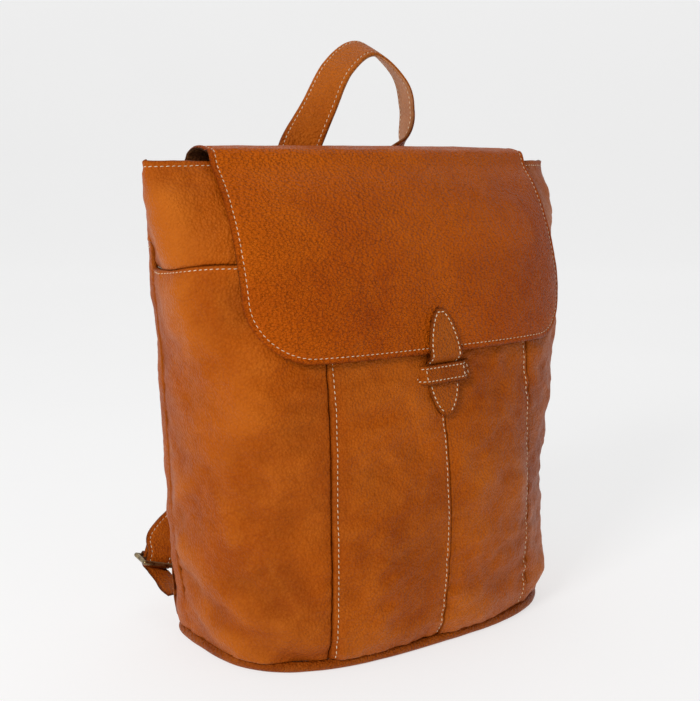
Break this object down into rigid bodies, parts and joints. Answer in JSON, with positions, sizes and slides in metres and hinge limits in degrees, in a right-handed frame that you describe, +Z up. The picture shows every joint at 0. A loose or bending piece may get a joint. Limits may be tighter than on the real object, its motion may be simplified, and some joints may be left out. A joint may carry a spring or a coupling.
{
  "type": "leather backpack",
  "caption": "Leather backpack with a fold-over flap, tab and keeper closure, top handle, shoulder straps on buckles and a zipped back pocket.",
  "frame": {"origin": "centre of the base, on the surface it stands on", "axes": "+Z up, -Y towards the front with the flap and tab, +Y towards the back with the straps"},
  "size_m": [0.3856, 0.2358, 0.4669],
  "materials": {
    "tan_leather": "satin grained cognac leather, cream stitching",
    "lining_cloth": "matt cotton twill",
    "zip_tape": "woven tape",
    "old_brass": "antique, brushed",
    "stiff_board": "matt fibre board"
  },
  "bodies": {
    "bag": {"base_panel": "tan_leather", "base_board": "stiff_board", "base_piping": "tan_leather", "side_panel_left": "tan_leather", "side_panel_right": "tan_leather", "front_panel_left": "tan_leather", "front_panel_right": "tan_leather", "front_band": "tan_leather", "back_panel": "tan_leather", "back_yoke": "tan_leather", "rim_facing": "tan_leather", "lining_wall": "lining_cloth", "lining_base": "lining_cloth", "zip_tapes": "zip_tape", "zip_teeth": "old_brass", "back_pocket_bag": "lining_cloth", "inner_pocket": "lining_cloth", "inner_zip": "zip_tape", "slip_pocket": "lining_cloth", "keeper_loop": "tan_leather", "flap_hem": "tan_leather", "handle_feet": "tan_leather", "strap_patch": "tan_leather", "anchor_tab_left": "tan_leather", "anchor_tab_right": "tan_leather"},
    "flap": {"flap_outer": "tan_leather", "flap_lining": "tan_leather", "closure_tab": "tan_leather"},
    "handle": {"handle_outer": "tan_leather", "handle_lining": "tan_leather"},
    "zip_slider": {"zip_slider": "old_brass"},
    "zip_puller": {"zip_puller": "tan_leather"},
    "inner_zip_slider": {"inner_zip_slider": "old_brass"},
    "strap_left": {"strap_left": "tan_leather", "strap_lining_left": "tan_leather", "buckle_left": "old_brass", "anchor_loop_left": "tan_leather"},
    "strap_right": {"strap_right": "tan_leather", "strap_lining_right": "tan_leather", "buckle_right": "old_brass", "anchor_loop_right": "tan_leather"}
  },
  "joints": [
    {"name": "flap_hinge", "type": "hinge", "parent": "bag", "child": "flap", "pos_m": [0, 0.013, 0.3745], "axis": [-1, 0, 0], "range_deg": [0, 72], "deforming": ["closure_tab"]},
    {"name": "handle_swing", "type": "hinge", "parent": "bag", "child": "handle", "pos_m": [0, 0.029, 0.369], "axis": [-1, 0, 0], "range_deg": [0, 60]},
    {"name": "zip_slide", "type": "slide", "parent": "bag", "child": "zip_slider", "axis": [1, 0, 0], "range_m": [0, 0.244]},
    {"name": "puller_swing", "type": "hinge", "parent": "zip_slider", "child": "zip_puller", "pos_m": [-0.122, 0.04985, 0.31185], "axis": [1, 0, 0], "range_deg": [0, 140]},
    {"name": "inner_zip_slide", "type": "slide", "parent": "bag", "child": "inner_zip_slider", "axis": [1, 0, 0], "range_m": [0, 0.156]},
    {"name": "strap_swing_left", "type": "hinge", "parent": "bag", "child": "strap_left", "pos_m": [-0.036, 0.046, 0.33], "axis": [-0.3354, 0.0466, -0.9409], "range_deg": [-10, 10]},
    {"name": "strap_swing_right", "type": "hinge", "parent": "bag", "child": "strap_right", "pos_m": [0.036, 0.046, 0.33], "axis": [0.3354, 0.0466, -0.9409], "range_deg": [-10, 10]}
  ]
}
